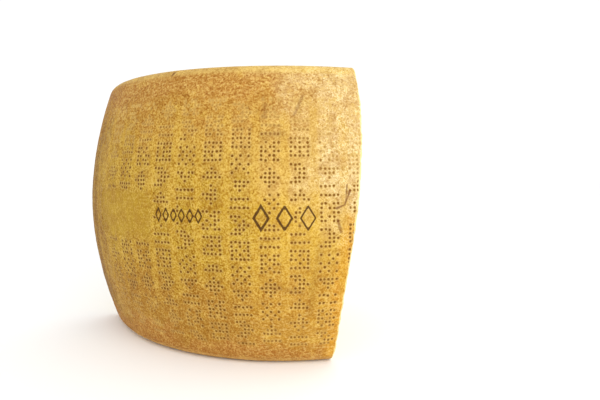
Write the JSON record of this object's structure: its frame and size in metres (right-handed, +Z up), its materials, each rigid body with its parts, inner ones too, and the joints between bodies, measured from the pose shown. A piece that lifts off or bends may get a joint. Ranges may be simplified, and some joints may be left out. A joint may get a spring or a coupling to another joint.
{
  "type": "parmesan chunk",
  "caption": "Quarter of a wheel of aged hard grating cheese, with a bulging golden rind and two grainy cut faces, standing on its base.",
  "frame": {"origin": "centre of the footprint box, on the flat base that the piece stands on", "axes": "+Z up along the axis of the wheel that the piece was cut from; -Y the way the middle of the rind faces, +Y towards the inner corner where the two cuts meet; +X to the right as the rind is faced"},
  "size_m": [0.2869, 0.2046, 0.23],
  "materials": {
    "cheese": "golden ochre natural rind with a fine brushed grain over pale straw, crumbly paste on the cut faces; satin on the rind and matte on the paste"
  },
  "bodies": {
    "root": {"parmesan_chunk": "cheese"}
  },
  "joints": []
}
